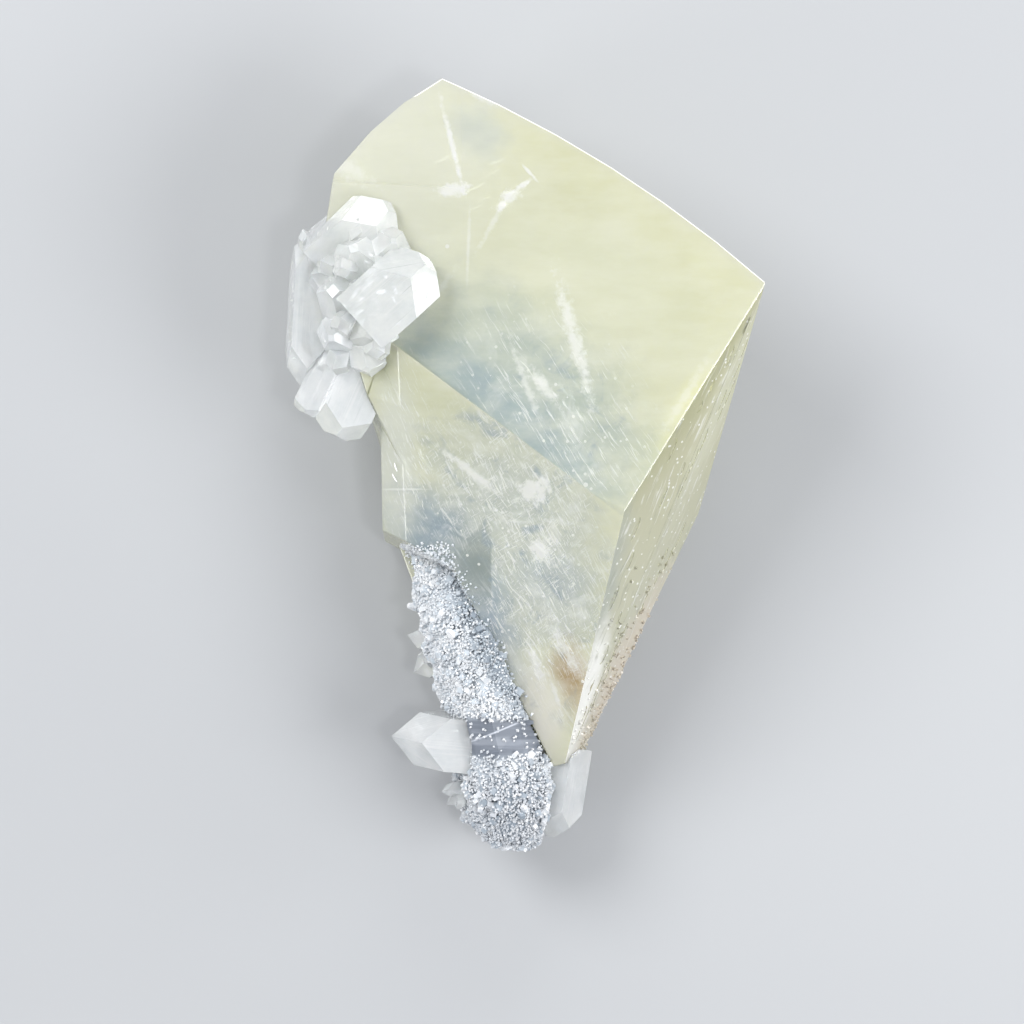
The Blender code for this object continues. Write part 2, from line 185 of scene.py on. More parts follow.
def only(piece):
    """Selects this piece alone and makes it the one that operators work on."""
    bpy.ops.object.select_all(action="DESELECT")
    piece.select_set(True)
    bpy.context.view_layer.objects.active = piece


def soften_edges(piece, width, shortest, sharpest, spared):
    """Bevels a crystal's long outer edges, as handling rubs them, but none that ends at a spared corner."""
    only(piece)
    bpy.ops.object.mode_set(mode="EDIT")
    bpy.ops.mesh.select_all(action="DESELECT")
    shape = bmesh.from_edit_mesh(piece.data)
    for edge in shape.edges:
        gaps = [(end.co - point(*corner)).length for end in edge.verts for corner in spared]
        kept = min(gaps) < SPARED_REACH * MM
        if len(edge.link_faces) == 2 and not kept and edge.calc_length() > shortest * MM:
            edge.select = edge.calc_face_angle_signed(0) > math.radians(sharpest)
    bmesh.update_edit_mesh(piece.data)
    bpy.ops.mesh.bevel(offset=width * MM, segments=2, affect="EDGES", clamp_overlap=False)
    bpy.ops.object.mode_set(mode="OBJECT")


def new_group(name, inputs, outputs):
    """A shader node group with named sockets: a value socket for a number, a vector one for three numbers."""
    tree = bpy.data.node_groups.new(name, "ShaderNodeTree")
    for label, value in inputs.items():
        kind = "NodeSocketFloat" if isinstance(value, float) else "NodeSocketVector"
        socket = tree.interface.new_socket(label, in_out="INPUT", socket_type=kind)
        socket.default_value = value
    for label in outputs:
        tree.interface.new_socket(label, in_out="OUTPUT", socket_type="NodeSocketFloat")
    return tree, tree.nodes.new("NodeGroupInput").outputs, tree.nodes.new("NodeGroupOutput").inputs


# patch: a soft-edged zone inside the crystal, with a ragged outline
patch, given, out = new_group(
    "patch",
    {
        "Place": (0.0, 0.0, 0.0),
        "Centre": (0.0, 0.0, 0.0),
        "Turn": (0.0, 0.0, 0.0),
        "Reach": (0.01, 0.01, 0.01),
        "Softness": 0.5,
        "Raggedness": 0.3,
        "Wander": 0.0,
    },
    ("Mask",),
)
offset = put(patch, "ShaderNodeMath", {0: given["Wander"], 1: given["Raggedness"]}, operation="MULTIPLY")
local = put(
    patch,
    "ShaderNodeMapping",
    {
        "Vector": given["Place"],
        "Location": given["Centre"],
        "Rotation": given["Turn"],
        "Scale": given["Reach"],
    },
    vector_type="TEXTURE",
)
far = put(patch, "ShaderNodeVectorMath", {0: local.outputs[0]}, operation="LENGTH")
far = put(patch, "ShaderNodeMath", {0: far.outputs["Value"], 1: offset.outputs[0]}, operation="ADD")
start = put(patch, "ShaderNodeMath", {0: 1.0, 1: given["Softness"]}, operation="ADD")
end = put(patch, "ShaderNodeMath", {0: 1.0, 1: given["Softness"]}, operation="SUBTRACT")
mask = put(
    patch,
    "ShaderNodeMapRange",
    {"Value": far.outputs[0], "From Min": start.outputs[0], "From Max": end.outputs[0]},
    interpolation_type="SMOOTHSTEP",
)
patch.links.new(mask.outputs["Result"], out["Mask"])

# feathers: fine white healed cracks, drawn out along one direction and gathered in clumps
feathers, given, out = new_group(
    "feathers",
    {
        "Place": (0.0, 0.0, 0.0),
        "Turn": (0.0, 0.0, 0.0),
        "Reach": (0.004, 0.0006, 0.004),
        "Clump": 160.0,
        "Fill": 0.5,
        "Blur": 0.12,
    },
    ("Mask",),
)
drift = put(feathers, "ShaderNodeTexNoise", {"Vector": given["Place"], "Scale": 90.0, "Detail": 2.0})
drift = put(
    feathers,
    "ShaderNodeVectorMath",
    {0: drift.outputs["Color"], 1: (0.0022, 0.0022, 0.0022), 2: given["Place"]},
    operation="MULTIPLY_ADD",
)
local = put(
    feathers,
    "ShaderNodeMapping",
    {"Vector": drift.outputs[0], "Rotation": given["Turn"], "Scale": given["Reach"]},
    vector_type="TEXTURE",
)
thread = put(
    feathers,
    "ShaderNodeTexNoise",
    {"Vector": local.outputs[0], "Scale": 1.0, "Detail": 4.0, "Roughness": 0.6, "Distortion": 0.3},
)
width = put(feathers, "ShaderNodeMath", {0: STROKE_FROM, 1: given["Blur"]}, operation="ADD")
stroke = put(
    feathers,
    "ShaderNodeMapRange",
    {"Value": thread.outputs["Fac"], "From Min": STROKE_FROM, "From Max": width.outputs[0]},
    interpolation_type="SMOOTHSTEP",
)
clump = put(
    feathers,
    "ShaderNodeTexNoise",
    {"Vector": given["Place"], "Scale": given["Clump"], "Detail": 3.0, "Roughness": 0.6},
)
low = put(feathers, "ShaderNodeMath", {0: 0.78, 1: given["Fill"]}, operation="SUBTRACT")
high = put(feathers, "ShaderNodeMath", {0: low.outputs[0], 1: 0.16}, operation="ADD")
clump = put(
    feathers,
    "ShaderNodeMapRange",
    {"Value": clump.outputs["Fac"], "From Min": low.outputs[0], "From Max": high.outputs[0]},
    interpolation_type="SMOOTHSTEP",
)
mask = put(
    feathers,
    "ShaderNodeMath",
    {0: stroke.outputs["Result"], 1: clump.outputs["Result"]},
    operation="MULTIPLY",
)
feathers.links.new(mask.outputs[0], out["Mask"])

# sparks: tiny bright points painted white, each a painted glint of a speck of inclusion that catches the
# light
sparks, given, out = new_group(
    "sparks", {"Place": (0.0, 0.0, 0.0), "Count": 900.0, "Size": 0.22, "Share": 0.3}, ("Mask",)
)
cells = put(
    sparks, "ShaderNodeTexVoronoi", {"Vector": given["Place"], "Scale": given["Count"], "Randomness": 1.0}
)
distance = cells.outputs["Distance"]
near = put(sparks, "ShaderNodeMath", {0: distance, 1: given["Size"]}, operation="LESS_THAN")
tint = put(sparks, "ShaderNodeSeparateXYZ", {0: cells.outputs["Color"]})
chosen = put(sparks, "ShaderNodeMath", {0: tint.outputs["X"], 1: given["Share"]}, operation="LESS_THAN")
mask = put(sparks, "ShaderNodeMath", {0: near.outputs[0], 1: chosen.outputs[0]}, operation="MULTIPLY")
sparks.links.new(mask.outputs[0], out["Mask"])


def group_node(tree, group, sockets):
    """Adds a shader group, with its sockets set or linked, and gives its output."""
    made = tree.nodes.new("ShaderNodeGroup")
    made.node_tree = group
    for key, value in sockets.items():
        if isinstance(value, bpy.types.NodeSocket):
            tree.links.new(value, made.inputs[key])
        else:
            made.inputs[key].default_value = value
    return made.outputs[0]


def ramp(tree, value, start, end, low=0.0, high=1.0):
    """Takes a value that runs from start to end to one that runs from low to high."""
    sockets = {"Value": value, "From Min": start, "From Max": end, "To Min": low, "To Max": high}
    return put(tree, "ShaderNodeMapRange", sockets).outputs["Result"]


def stretched(tree, place, scale, rotation=(0.0, 0.0, 0.0)):
    """The place, turned and stretched, for a texture that runs along one direction."""
    return put(tree, "ShaderNodeMapping", {"Vector": place, "Rotation": rotation, "Scale": scale}).outputs[0]


def relieve(tree, shader, height, strength, distance):
    """Gives the shader's normal a fine relief."""
    bump = put(tree, "ShaderNodeBump", {"Strength": strength, "Distance": distance, "Height": height})
    tree.links.new(bump.outputs["Normal"], shader.inputs["Normal"])


def times(tree, first, second):
    return put(tree, "ShaderNodeMath", {0: first, 1: second}, operation="MULTIPLY").outputs[0]


def plus(tree, first, second):
    return put(tree, "ShaderNodeMath", {0: first, 1: second}, operation="ADD", use_clamp=True).outputs[0]


def wandering(tree, place, scale=220.0):
    """An uneven value round zero, which frays the outlines of the patches."""
    made = noise_of(tree, place, scale, 4.0, 0.62)
    return put(tree, "ShaderNodeMath", {0: made, 1: 0.5}, operation="SUBTRACT").outputs[0]


def zone(tree, place, wander, centre, reach, turn=0.0, soft=0.5, ragged=0.3):
    """A patch given by its middle, its half size, and its turn in degrees as seen from above."""
    return group_node(
        tree,
        patch,
        {
            "Place": place,
            "Wander": wander,
            "Centre": point(*centre),
            "Turn": (0, 0, math.radians(turn)),
            "Reach": point(*reach),
            "Softness": soft,
            "Raggedness": ragged,
        },
    )


# The zones of the front: side of the ledge, middle, half size, turn, softness, raggedness, colour, strength
ZONES = (
    ("both", (-22, 46, 30), (18, 24, 30), 0, 0.6, 0.5, srgb(231, 232, 217), 0.9),
    ("above", (-7.2, 51.4, 33), (4.6, 3.2, 12), -30, 0.6, 1.6, srgb(208, 214, 208), 0.75),
    ("above", (6, 26, 32), (24, 14, 30), -30, 0.6, 0.7, srgb(224, 226, 203), 0.7),
    ("above", (24.5, 8, 32), (2.4, 8, 12), -32, 0.6, 0.8, srgb(245, 243, 190), 0.6),
    # The next two, bands along the ledge's line above it, are painted shade: the valley is darker and bluish
    # where it falls to the ledge.
    ("above", (0.5, 11.5, 30), (22, 10.5, 22), -38, 0.6, 0.8, srgb(188, 199, 191), 0.9),
    ("above", (-5, 8.5, 30), (19, 5.0, 22), -38, 0.6, 0.8, srgb(176, 192, 196), 0.85),
    ("below", (-8, 3.0, 30), (24, 6.0, 18), -38, 0.4, 0.5, srgb(216, 218, 190), 0.9),
    ("below", (-3, -12, 26), (15, 18, 22), 18, 0.5, 0.8, srgb(203, 210, 205), 0.85),
    ("below", (-15.0, -11.0, 26), (8.5, 5.5, 14), -42, 0.7, 0.8, srgb(154, 172, 186), 0.9),
    ("below", (-9.5, -20.5, 24), (7.5, 6.0, 14), -55, 0.5, 0.7, srgb(160, 178, 190), 0.85),
    ("below", (-5.0, -26.5, 22), (11.0, 3.0, 12), -63.6, 0.9, 0.9, srgb(182, 195, 207), 0.8),
    ("below", (5, -19, 24), (5, 7, 12), 30, 0.6, 0.9, srgb(190, 200, 203), 0.6),
    ("below", (7.2, -32.5, 20), (2.8, 5.0, 9), 12, 0.7, 0.9, srgb(184, 156, 112), 0.9),
    ("below", (2.4, -38.5, 19), (3.5, 7.0, 9), 8, 0.5, 0.4, srgb(244, 241, 229), 0.9),
    ("below", (-20, 2, 26), (3.4, 12, 16), 0, 0.5, 0.7, srgb(222, 226, 218), 0.8),
)

calcite_front, tree, shader = finish_material(
    "calcite_front",
    Roughness=0.16,
    Transmission_Weight=0.5,
    IOR=1.6,
    Subsurface_Weight=0.35,
    Subsurface_Scale=0.006,
    Coat_Weight=0.25,
    Coat_Roughness=0.04,
)
shader.inputs["Subsurface Radius"].default_value = (1.0, 1.0, 0.8)
place = object_place(tree)
wander = wandering(tree, place)
cloud = ramp(tree, noise_of(tree, place, 70.0, 4.0, 0.55), 0.35, 0.68)
colour = blend(tree, cloud, srgb(222, 222, 188), srgb(231, 231, 203))
veil = stretched(tree, place, (90, 260, 90), (0, 0, math.radians(12)))
veil = ramp(tree, noise_of(tree, veil, 1.0, 5.0, 0.6), 0.40, 0.66)

# The side of the ledge that a place lies on, from 0 below it to 1 above it
across = put(tree, "ShaderNodeVectorMath", {0: place, 1: (*LEDGE_WAY, 0.0)}, operation="DOT_PRODUCT")
above = ramp(tree, across.outputs["Value"], LEDGE_AT - LEDGE_BLUR, LEDGE_AT + LEDGE_BLUR)
below = put(tree, "ShaderNodeMath", {0: 1.0, 1: above}, operation="SUBTRACT").outputs[0]
for side, centre, reach, turn, soft, ragged, hue, strength in ZONES:
    mask = times(tree, zone(tree, place, wander, centre, reach, turn, soft, ragged), strength)
    if side != "both":
        mask = times(tree, mask, above if side == "above" else below)
    colour = blend(tree, mask, colour, hue)

# Faint milky streaks all over
colour = blend(tree, times(tree, veil, 0.32), colour, srgb(243, 243, 228))

# Where the white cracks gather: the valley above the ledge, and the second crystal below it
valley = times(tree, zone(tree, place, wander, (5, 8, 30), (16, 11, 22), -50, 0.6, 1.2), above)
second = times(tree, zone(tree, place, wander, (-1, -14, 26), (12, 22, 22), 20, 0.5, 1.2), below)
left_band = zone(tree, place, wander, (-19, 2, 26), (4, 14, 20), 0, 0.5, 0.7)
strands = []
# Direction in degrees, half size of one crack, how closely they gather, how much they fill, how soft they are
for heading, reach, clump, fill, blur in (
    (-57, (4.2, 0.36, 4.0), 160.0, 0.45, 0.10),
    (-66, (2.0, 0.20, 2.0), 230.0, 0.47, 0.09),
    (38, (1.6, 0.20, 1.6), 300.0, 0.38, 0.09),
):
    given = {"Place": place, "Turn": (0, 0, math.radians(heading)), "Reach": point(*reach)}
    strands.append(group_node(tree, feathers, {**given, "Clump": clump, "Fill": fill, "Blur": blur}))
threads, fine, cross = strands

# A dull grey patch that ends sharply on its right
murk = zone(tree, place, wander, (-7.6, -15.6, 26), (3.8, 4.8, 9), 0, 0.9, 1.0)
right = put(tree, "ShaderNodeSeparateXYZ", {0: place}).outputs["X"]
murk = times(tree, murk, ramp(tree, right, *MURK_EDGE, 1.0, 0.0))
colour = blend(tree, times(tree, murk, 0.85), colour, srgb(148, 159, 157))
clear_of_murk = put(tree, "ShaderNodeMath", {0: 1.0, 1: murk}, operation="SUBTRACT").outputs[0]

# White and blue-grey clouds between the cracks
billow = noise_of(tree, place, 210.0, 5.0, 0.6, 0.6)
pale = ramp(tree, billow, 0.52, 0.68)
dusk = ramp(tree, billow, 0.46, 0.34)
cloudy = plus(tree, second, times(tree, valley, 0.7))
colour = blend(tree, times(tree, cloudy, times(tree, dusk, 0.65)), colour, srgb(156, 173, 186))
valley_white = times(tree, valley, plus(tree, times(tree, threads, 0.8), times(tree, pale, 0.4)))
crossed = plus(tree, times(tree, cross, 0.8), times(tree, pale, 0.65))
second_white = plus(tree, plus(tree, threads, fine), crossed)
second_white = times(tree, times(tree, second, second_white), clear_of_murk)
band_white = times(tree, left_band, times(tree, fine, 0.8))
white = plus(tree, plus(tree, valley_white, second_white), band_white)
# Painted glints: white specks painted over the front, thickest along the seam by the stem and in the clouded
# parts
specks = group_node(tree, sparks, {"Place": place, "Count": 1100.0, "Size": 0.26, "Share": 0.10})
seam = zone(tree, place, wander, (-5.2, -26.0, 22), (13.0, 4.0, 12), -63.6, 0.7, 0.9)
white = plus(tree, white, times(tree, specks, seam))
lone = group_node(tree, sparks, {"Place": place, "Count": 330.0, "Size": 0.12, "Share": 0.06})
white = plus(tree, white, times(tree, lone, 0.7))
speckled = plus(tree, times(tree, valley, 0.7), times(tree, second, 0.9))
white = plus(tree, white, times(tree, specks, speckled))

# White marks, each a crack or flake near the surface: some are white cracks, others painted glints where a
# crack flashes in the light. Middle, half size, turn, softness, raggedness, strength
MARKS = (
    ((-11.4, 50.0, 33), (6.2, 0.35, 9), -76, 0.7, 1.2, 1.0),
    ((-11.2, 42.6, 33), (2.2, 0.9, 9), 8, 0.5, 0.9, 1.0),
    ((-6.6, 57.2, 33), (3.0, 0.8, 9), -28, 0.6, 0.9, 0.9),
    ((7.6, 19.0, 33), (7.4, 0.9, 9), -75, 0.8, 1.4, 0.8),
    ((0.1, 12.6, 33), (5.0, 0.45, 9), -70, 0.8, 1.3, 0.6),
    ((2.6, 12.6, 33), (2.8, 0.7, 9), -55, 0.8, 1.3, 0.8),
    ((-8.6, -0.6, 30), (4.6, 0.45, 9), -38, 0.8, 1.0, 0.9),
    ((1.4, -3.6, 30), (2.4, 1.7, 9), 30, 0.5, 1.3, 1.0),
    ((2.2, -12.6, 30), (1.3, 1.5, 9), 0, 0.5, 1.2, 1.0),
    ((-19.0, -3.4, 29), (3.2, 0.16, 9), 0, 0.7, 0.4, 0.7),
    ((-27.5, 46.0, 30), (3.5, 1.2, 9), -30, 0.8, 1.6, 0.5),
    ((0.6, 45.2, 33), (1.5, 0.22, 9), -48, 0.6, 0.8, 0.9),
    ((-0.6, 43.2, 33), (1.8, 0.3, 9), 34, 0.6, 1.0, 0.9),
    ((-2.6, 41.2, 33), (2.2, 0.7, 9), 44, 0.8, 1.8, 0.8),
    ((-5.0, 37.6, 33), (3.4, 0.35, 9), 62, 0.9, 1.4, 0.5),
    ((-8.8, 34.0, 33), (4.2, 0.22, 9), 88, 0.9, 0.7, 0.5),
    ((-14.4, 26.0, 33), (3.8, 0.5, 9), 50, 0.9, 1.2, 0.4),
    ((24.5, 11.0, 33), (5.5, 0.5, 9), 58, 0.9, 1.3, 0.45),
    ((6.0, -28.0, 22), (3.6, 0.7, 9), -62, 0.8, 1.5, 0.7),
    ((1.6, -30.4, 20), (2.6, 0.6, 9), -66, 0.8, 1.2, 0.8),
    ((4.6, -35.0, 19), (3.0, 0.3, 9), -72, 0.8, 1.3, 0.7),
)
fray = wandering(tree, place, 850.0)
for centre, reach, turn, soft, ragged, strength in MARKS:
    mark = zone(tree, place, fray, centre, reach, turn, soft, ragged * 2.6)
    white = plus(tree, white, times(tree, mark, strength))
colour = blend(tree, times(tree, white, 0.85), colour, srgb(252, 253, 250))
tree.links.new(colour, shader.inputs["Base Color"])

growth = noise_of(tree, place, 320.0, 4.0)
relieve(tree, shader, plus(tree, times(tree, growth, 0.35), times(tree, white, 0.5)), 0.25, 0.00025)
tree.links.new(ramp(tree, growth, 0.3, 0.7, 0.10, 0.24), shader.inputs["Roughness"])

calcite_side, tree, shader = finish_material(
    "calcite_side",
    Roughness=0.28,
    Transmission_Weight=0.4,
    IOR=1.6,
    Coat_Weight=0.3,
    Coat_Roughness=0.06,
)
place = object_place(tree)
run = Vector(SIDE_RUN).to_track_quat("X", "Z").to_euler()
along_side = {"Place": place, "Turn": tuple(run), "Blur": 0.12}
streaks = {**along_side, "Reach": point(9.0, 0.5, 0.7), "Clump": 200.0, "Fill": 0.44}
streaks = group_node(tree, feathers, streaks)
low = put(tree, "ShaderNodeSeparateXYZ", {0: place}).outputs["Y"]
colour = blend(tree, ramp(tree, low, 0.022, -0.034), srgb(188, 186, 150), srgb(198, 198, 180))

# Middle, half size, turn, softness, raggedness, colour and strength of the zones on the right-hand side
SIDE_ZONES = (
    ((25.0, 11.0, 25), (24, 2.6, 30), 58, 0.6, 0.8, srgb(172, 172, 134), 0.8),
    ((12.6, -17.0, 20), (13, 2.0, 30), 77, 0.6, 0.9, srgb(172, 178, 170), 0.8),
    ((31.0, 12.0, 15), (20, 1.6, 30), 68, 0.6, 0.9, srgb(212, 212, 188), 0.8),
    # The next row is a painted sheen, a near-white strip where an inner face shines; the row after it is a
    # painted reflection, pinkish, seen through the crystal
    ((9.4, -35.0, 15), (12, 1.5, 20), 74, 0.5, 1.1, srgb(250, 250, 246), 0.95),
    ((15.4, -31.0, 12), (15, 2.2, 20), 64, 0.5, 0.9, srgb(218, 206, 190), 0.8),
)
wander = wandering(tree, place, 300.0)
for centre, reach, turn, soft, ragged, hue, strength in SIDE_ZONES:
    mask = zone(tree, place, wander, centre, reach, turn, soft, ragged)
    colour = blend(tree, times(tree, mask, strength), colour, hue)
dark = {**along_side, "Reach": point(9.0, 0.6, 0.9), "Clump": 150.0, "Fill": 0.38}
dark = group_node(tree, feathers, dark)
colour = blend(tree, times(tree, dark, 0.55), colour, srgb(150, 154, 138))
# Painted glints: fine white specks painted over the side
specks = group_node(tree, sparks, {"Place": place, "Count": 1500.0, "Size": 0.3, "Share": 0.2})
white = plus(tree, times(tree, streaks, 0.6), times(tree, specks, 0.9))
colour = blend(tree, white, colour, srgb(250, 250, 246))
tree.links.new(colour, shader.inputs["Base Color"])
grit = noise_of(tree, place, 700.0, 3.0, 0.6)
relieve(tree, shader, plus(tree, times(tree, grit, 0.4), times(tree, streaks, 0.5)), 0.4, 0.0003)

# The walls at the back and on the left: broken along the cleavage, in thin layers that run round the crystal
calcite_wall, tree, shader = finish_material(
    "calcite_wall",
    Roughness=0.22,
    Transmission_Weight=0.45,
    IOR=1.6,
    Coat_Weight=0.2,
    Coat_Roughness=0.08,
)
place = object_place(tree)
wander = wandering(tree, place, 160.0)
layers = stretched(tree, place, (26, 26, 900), (0.16, -0.1, 0))
layers = noise_of(tree, layers, 1.0, 5.0, 0.62)
colour = blend(tree, ramp(tree, layers, 0.34, 0.62), srgb(196, 199, 172), srgb(236, 236, 214))
# The brightest layers are painted near white: painted flashes where the cleavage steps catch the light
flash = times(tree, ramp(tree, layers, 0.60, 0.68), ramp(tree, wander, -0.02, 0.12))
colour = blend(tree, times(tree, flash, 0.9), colour, srgb(253, 253, 249))
tree.links.new(colour, shader.inputs["Base Color"])
relieve(tree, shader, plus(tree, times(tree, layers, 0.8), times(tree, flash, 0.2)), 0.6, 0.0006)

# The small bevel faces along the upper rims are painted near white: a painted highlight, the thin bright line
# that light draws along these edges
calcite_lit_rim, tree, shader = finish_material("calcite_lit_rim", Roughness=0.3, Transmission_Weight=0.2, IOR=1.6)
rim_highlight_mottle = noise_of(tree, object_place(tree), 500.0, 3.0)
colour = blend(tree, rim_highlight_mottle, srgb(232, 232, 210), srgb(255, 255, 252))
tree.links.new(colour, shader.inputs["Base Color"])

calcite = solid_of("calcite_crystal", "calcite")
soften_edges(calcite, 0.2, 3.0, 14, (POINTED_END, FACET_END, BACK_FOOT, BACK_TOP))
FINISHES = (calcite_front, calcite_side, calcite_lit_rim, calcite_wall)
FRONT, SIDE, RIM, WALL = range(4)
BEVEL_FACE = 12 * MM * MM  # a face that the bevel makes is smaller than this
for material in FINISHES:
    calcite.data.materials.append(material)
for face in calcite.data.polygons:
    middle = face.center / MM
    below = FRONT_HEIGHT + FRONT_SLOPE[0] * middle.x + FRONT_SLOPE[1] * middle.y - middle.z
    if face.normal.x > 0.25 and middle.x > 6.0 and below > 0.6:
        face.material_index = SIDE
    elif face.normal.z < 0.35 and below > 0.6:
        face.material_index = WALL
    else:
        face.material_index = FRONT
    # Bevel faces on the top-left and lower-left rims take the painted highlight
    rim = middle.y > 20 and below < 0.4 or middle.y < -32 and face.normal.x < -0.1
    if face.area < BEVEL_FACE and 0.15 < face.normal.z < 0.95 and rim:
        face.material_index = RIM
for material in FINISHES:
    yellow = {"Color": srgb(238, 240, 205), "Density": 14.0}
    tint = put(material.node_tree, "ShaderNodeVolumeAbsorption", yellow)
    output = material.node_tree.nodes["Material Output"]
    material.node_tree.links.new(tint.outputs[0], output.inputs["Volume"])
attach(calcite, "root")
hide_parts("calcite_crystal")


# The cracks inside the calcite. They are healed cleavage cracks: thin, slightly curved white flakes a little
# way under the front face, most of them leaning the same way, which flash as they catch the lamps.


LOWER_HEIGHT = 32.54
LOWER_SLOPE = (0.24, 0.37)
LEDGE_RISE = 6.0
FLAKE_THICKNESS = 0.03


def flake(length, width, bow):
    """One thin curved flake, lying flat on the origin, as a mesh."""
    bpy.ops.mesh.primitive_grid_add(x_subdivisions=4, y_subdivisions=2, size=1.0)
    piece = bpy.context.object
    for vertex in piece.data.vertices:
        x, y, _ = vertex.co
        taper = 1.0 - 1.5 * x * x - 0.6 * abs(y)
        vertex.co = point(x * length, y * width * taper + bow * x * x * length, bow * y * width)
    thick = piece.modifiers.new("thickness", "SOLIDIFY")
    thick.thickness = FLAKE_THICKNESS * MM
    only(piece)
    bpy.ops.object.modifier_apply(modifier="thickness")
    mesh = piece.data
    bpy.data.objects.remove(piece)
    return mesh


def joined(name, mesh, places):
    """One piece made of copies of a mesh, one for each place."""
    shape = bmesh.new()
    for place in places:
        copy = mesh.copy()
        copy.transform(place)
        shape.from_mesh(copy)
        bpy.data.meshes.remove(copy)
    whole = bpy.data.meshes.new(name)
    shape.to_mesh(whole)
    shape.free()
    piece = bpy.data.objects.new(name, whole)
    bpy.context.scene.collection.objects.link(piece)
    return piece


def front_at(x, y):
    """The front's height in millimetres: of the upper face, or of the lower one that falls to the point."""
    upper = FRONT_HEIGHT + FRONT_SLOPE[0] * x + FRONT_SLOPE[1] * y
    lower = LOWER_HEIGHT + LOWER_SLOPE[0] * x + LOWER_SLOPE[1] * y
    beyond_ledge = (x * LEDGE_WAY[0] + y * LEDGE_WAY[1]) * MM >= LEDGE_AT
    return min(upper, lower + LEDGE_RISE) if beyond_ledge else lower


crack_white, tree, shader = finish_material("crack_white", Roughness=0.22)
haze = noise_of(tree, object_place(tree), 500.0, 3.0)
colour = blend(tree, haze, srgb(244, 246, 243), srgb(255, 255, 255))
tree.links.new(colour, shader.inputs["Base Color"])

# Where the flakes gather: middle and half size in plan, their direction in degrees, and how many
SWARMS = (
    ((6.0, 8.0), (9.0, 9.0), -52, 60),
    ((2.0, -6.0), (9.0, 5.0), -48, 60),
    ((0.0, -14.0), (8.0, 7.0), -58, 70),
    ((3.0, -27.0), (4.0, 7.0), -64, 46),
    ((-17.0, -1.0), (3.4, 7.0), -60, 26),
    ((-7.0, 45.0), (7.0, 7.0), 20, 18),
)
picks = random.Random(21)
places = []
for (x, y), (wide, high), heading, count in SWARMS:
    for _ in range(count):
        at_x = picks.gauss(x, wide * 0.5)
        at_y = picks.gauss(y, high * 0.5)
        depth = picks.uniform(0.5, 2.6)
        height = front_at(at_x, at_y) - depth
        turn = Matrix.Rotation(math.radians(heading + picks.gauss(0, 9)), 4, "Z")
        tilt = Matrix.Rotation(picks.uniform(-0.9, 0.9), 4, "X")
        size = Matrix.Scale(picks.uniform(0.35, 1.25), 4)
        places.append(Matrix.Translation(point(at_x, at_y, height)) @ turn @ tilt @ size)
inner_cracks = joined("inner_cracks", flake(2.6, 0.5, 0.16), places)
inner_cracks.data.materials.append(crack_white)
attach(inner_cracks, "root")


# The stem. It is a rounded blue-grey core, covered all over with fine druse: thousands of tiny blunt crystals
# that grew outwards side by side. A smooth collar goes round it beside the calcite's pointed end.

COLLAR = (-45.0, -39.2)  # where the collar begins and ends, along y
COLLAR_COVER = 0.10
SURFACE_STEP = 0.7


def unit_grain(name, sides, top, height):
    """One small blunt crystal, a millimetre wide, standing on the origin."""
    bpy.ops.mesh.primitive_cone_add(
        vertices=sides,
        radius1=0.5 * MM,
        radius2=0.5 * top * MM,
        depth=height * MM,
        location=(0, 0, 0.25 * height * MM),
    )
    grain = bpy.context.object
    grain.name = name
    bpy.ops.object.transform_apply(location=True, rotation=True, scale=True)
    return grain


def even_surface(node, name):
    """A solid's surface in small even faces, for crystals to grow on."""
    surface = solid_of(node, name)
    even = surface.modifiers.new("even", "REMESH")
    even.mode = "VOXEL"
    even.voxel_size = SURFACE_STEP * MM
    only(surface)
    bpy.ops.object.modifier_apply(modifier="even")
    return surface


